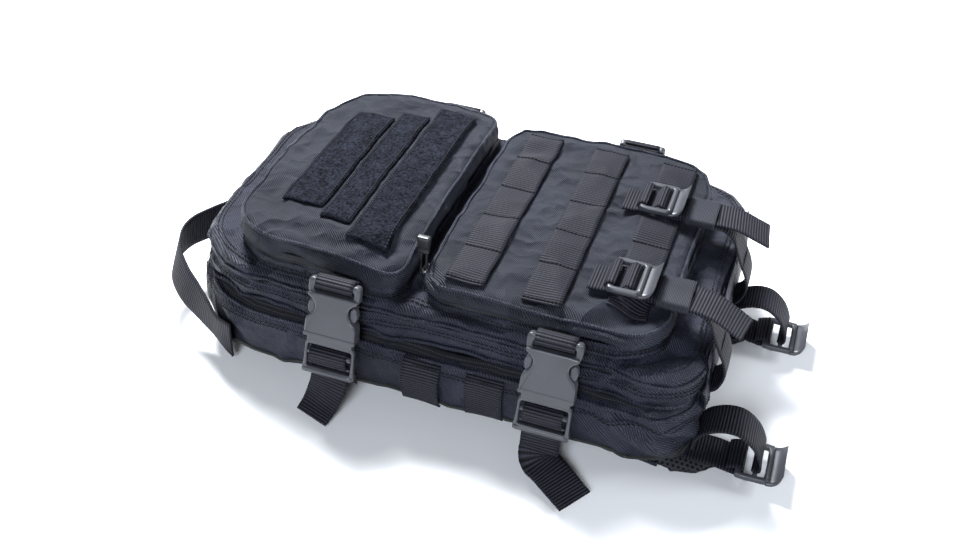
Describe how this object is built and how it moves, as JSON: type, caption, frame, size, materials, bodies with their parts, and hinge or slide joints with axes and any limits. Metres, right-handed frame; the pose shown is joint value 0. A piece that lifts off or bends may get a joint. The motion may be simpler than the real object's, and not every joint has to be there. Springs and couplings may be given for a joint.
{
  "type": "trauma backpack",
  "caption": "Soft assault-style medical backpack lying on its back: zipped main and middle compartments, two front pockets, loop fields, webbing rows, side-release straps, shoulder harness",
  "frame": {"origin": "under the middle of the whole object's box, on the surface that the pack's shoulder straps lie on", "axes": "+X from the grab handle at the pack's top to the strap adjusters at its base, +Y across the pack, +Z from the back panel out through the front pockets"},
  "size_m": [0.444, 0.3122, 0.1184],
  "materials": {
    "pack_fabric": "matte twill",
    "lining": "matte",
    "webbing": "ribbed",
    "loop_pile": "fuzzy pile",
    "air_mesh": "open mesh over foam",
    "elastic": "ribbed elastic",
    "acetal": "satin",
    "zip_tape": "coil on tape",
    "zip_metal": "black, satin",
    "grip": "satin",
    "sheet": "smooth"
  },
  "bodies": {
    "main_section": {"main_shell": "pack_fabric", "back_pads": "air_mesh", "frame_sheet": "sheet", "hydration_sleeve": "lining", "side_webbing": "webbing", "main_zip_track": "zip_tape", "sewn_anchors": "webbing", "lower_webbing": "webbing", "buckle_sockets": "acetal", "socket_strap_loops": "webbing", "compression_straps": "webbing", "lash_straps": "webbing"},
    "middle_section": {"middle_shell": "pack_fabric", "organiser_panel": "lining", "elastic_loops": "elastic", "middle_zip_track": "zip_tape"},
    "front_section": {"front_panel": "pack_fabric", "pocket_gussets": "pack_fabric", "upper_pocket_base": "pack_fabric", "lower_pocket_base": "pack_fabric", "upper_pocket_zip_track": "zip_tape", "lower_pocket_zip_track": "zip_tape", "base_loop_field": "loop_pile", "base_webbing_row": "webbing", "front_tabs": "webbing"},
    "upper_flap": {"upper_pocket_flap": "pack_fabric", "flap_loop_fields": "loop_pile"},
    "lower_flap": {"lower_pocket_flap": "pack_fabric", "flap_webbing_rows": "webbing"},
    "grab_handle": {"grab_handle": "webbing"},
    "upper_near_buckle": {"upper_near_plug": "acetal", "upper_near_tail": "webbing"},
    "upper_far_buckle": {"upper_far_plug": "acetal", "upper_far_tail": "webbing"},
    "lower_near_buckle": {"lower_near_plug": "acetal", "lower_near_tail": "webbing"},
    "lower_far_buckle": {"lower_far_plug": "acetal", "lower_far_tail": "webbing"},
    "near_shoulder_strap": {"near_strap_pad": "air_mesh", "near_strap_link": "webbing"},
    "near_adjuster": {"near_adjuster": "acetal"},
    "far_shoulder_strap": {"far_strap_pad": "air_mesh", "far_strap_link": "webbing"},
    "far_adjuster": {"far_adjuster": "acetal"},
    "near_lash": {"near_lash_lock": "acetal", "near_lash_tail": "webbing", "near_lash_keeper": "elastic"},
    "far_lash": {"far_lash_lock": "acetal", "far_lash_tail": "webbing", "far_lash_keeper": "elastic"},
    "main_near_slider": {"main_near_slider": "zip_metal"},
    "main_near_pull": {"main_near_pull": "grip"},
    "main_far_slider": {"main_far_slider": "zip_metal"},
    "main_far_pull": {"main_far_pull": "grip"},
    "middle_slider": {"middle_slider": "zip_metal"},
    "middle_pull": {"middle_pull": "grip"},
    "upper_slider": {"upper_slider": "zip_metal"},
    "upper_pull": {"upper_pull": "grip"},
    "lower_slider": {"lower_slider": "zip_metal"},
    "lower_pull": {"lower_pull": "grip"}
  },
  "joints": [
    {"name": "main_opening", "type": "hinge", "parent": "main_section", "child": "middle_section", "pos_m": [0.162, 0, 0.0535], "axis": [0, 1, 0], "range_deg": [0, 75], "deforming": ["lash_straps"]},
    {"name": "front_opening", "type": "hinge", "parent": "middle_section", "child": "front_section", "pos_m": [0.158, 0, 0.0725], "axis": [0, 1, 0], "range_deg": [0, 60], "deforming": ["lash_straps"]},
    {"name": "upper_pocket_opening", "type": "hinge", "parent": "front_section", "child": "upper_flap", "pos_m": [-0.077, 0, 0.108], "axis": [0, 1, 0], "range_deg": [0, 50]},
    {"name": "lower_pocket_opening", "type": "hinge", "parent": "front_section", "child": "lower_flap", "pos_m": [0.076, 0, 0.102], "axis": [0, 1, 0], "range_deg": [0, 60]},
    {"name": "upper_near_buckle_release", "type": "slide", "parent": "main_section", "child": "upper_near_buckle", "axis": [0, -0.2924, -0.9563], "range_m": [0, 0.026], "deforming": ["compression_straps"]},
    {"name": "upper_far_buckle_release", "type": "slide", "parent": "main_section", "child": "upper_far_buckle", "axis": [0, 0.2924, -0.9563], "range_m": [0, 0.026], "deforming": ["compression_straps"]},
    {"name": "lower_near_buckle_release", "type": "slide", "parent": "main_section", "child": "lower_near_buckle", "axis": [0, -0.2924, -0.9563], "range_m": [0, 0.026], "deforming": ["compression_straps"]},
    {"name": "lower_far_buckle_release", "type": "slide", "parent": "main_section", "child": "lower_far_buckle", "axis": [0, 0.2924, -0.9563], "range_m": [0, 0.026], "deforming": ["compression_straps"]},
    {"name": "handle_swing", "type": "hinge", "parent": "main_section", "child": "grab_handle", "pos_m": [-0.2014, 0, 0.036], "axis": [0, 1, 0], "range_deg": [-18, 10]},
    {"name": "near_strap_swing", "type": "hinge", "parent": "main_section", "child": "near_shoulder_strap", "pos_m": [-0.178, -0.086, 0.0068], "axis": [0, 1, 0], "range_deg": [0, 25], "deforming": ["lower_webbing"]},
    {"name": "near_adjuster_tilt", "type": "hinge", "parent": "near_shoulder_strap", "child": "near_adjuster", "pos_m": [0.1939, -0.086, 0.009], "axis": [0, -1, 0], "range_deg": [-10, 40], "deforming": ["lower_webbing"]},
    {"name": "far_strap_swing", "type": "hinge", "parent": "main_section", "child": "far_shoulder_strap", "pos_m": [-0.178, 0.043, 0.0068], "axis": [0, 1, 0], "range_deg": [0, 25], "deforming": ["lower_webbing"]},
    {"name": "far_adjuster_tilt", "type": "hinge", "parent": "far_shoulder_strap", "child": "far_adjuster", "pos_m": [0.1939, 0.043, 0.009], "axis": [0, -1, 0], "range_deg": [-10, 40], "deforming": ["lower_webbing"]},
    {"name": "near_lash_tilt", "type": "hinge", "parent": "front_section", "child": "near_lash", "pos_m": [0.094, -0.062, 0.11], "axis": [0, -1, 0], "range_deg": [0, 40], "deforming": ["lash_straps"]},
    {"name": "far_lash_tilt", "type": "hinge", "parent": "front_section", "child": "far_lash", "pos_m": [0.094, 0.03, 0.11], "axis": [0, -1, 0], "range_deg": [0, 40], "deforming": ["lash_straps"]},
    {"name": "main_near_zip_run", "type": "slide", "parent": "main_section", "child": "main_near_slider", "axis": [0, -1, 0], "range_m": [0, 0.042]},
    {"name": "main_near_pull_swing", "type": "hinge", "parent": "main_near_slider", "child": "main_near_pull", "pos_m": [-0.19255, 0.004, 0.0554], "axis": [0, 0, -1], "range_deg": [0, 120]},
    {"name": "main_far_zip_run", "type": "slide", "parent": "main_section", "child": "main_far_slider", "axis": [0, 1, 0], "range_m": [0, 0.026]},
    {"name": "main_far_pull_swing", "type": "hinge", "parent": "main_far_slider", "child": "main_far_pull", "pos_m": [-0.19255, 0.017, 0.0554], "axis": [0, 0, 1], "range_deg": [0, 120]},
    {"name": "middle_zip_run", "type": "slide", "parent": "middle_section", "child": "middle_slider", "axis": [1, 0, 0], "range_m": [-0.022, 0.046]},
    {"name": "middle_pull_swing", "type": "hinge", "parent": "middle_slider", "child": "middle_pull", "pos_m": [0.002, 0.11205, 0.0725], "axis": [0, 0, -1], "range_deg": [0, 120]},
    {"name": "upper_zip_run", "type": "slide", "parent": "front_section", "child": "upper_slider", "axis": [0, 1, 0], "range_m": [-0.07, 0.03]},
    {"name": "upper_pull_swing", "type": "hinge", "parent": "upper_slider", "child": "upper_pull", "pos_m": [-0.16255, 0.02, 0.0898], "axis": [0, 0, -1], "range_deg": [0, 120]},
    {"name": "lower_zip_run", "type": "slide", "parent": "front_section", "child": "lower_slider", "axis": [0, 1, 0], "range_m": [0, 0.148]},
    {"name": "lower_pull_swing", "type": "hinge", "parent": "lower_slider", "child": "lower_pull", "pos_m": [-0.0267, -0.074, 0.0878], "axis": [1, 0, 0], "range_deg": [-12, 12]}
  ]
}
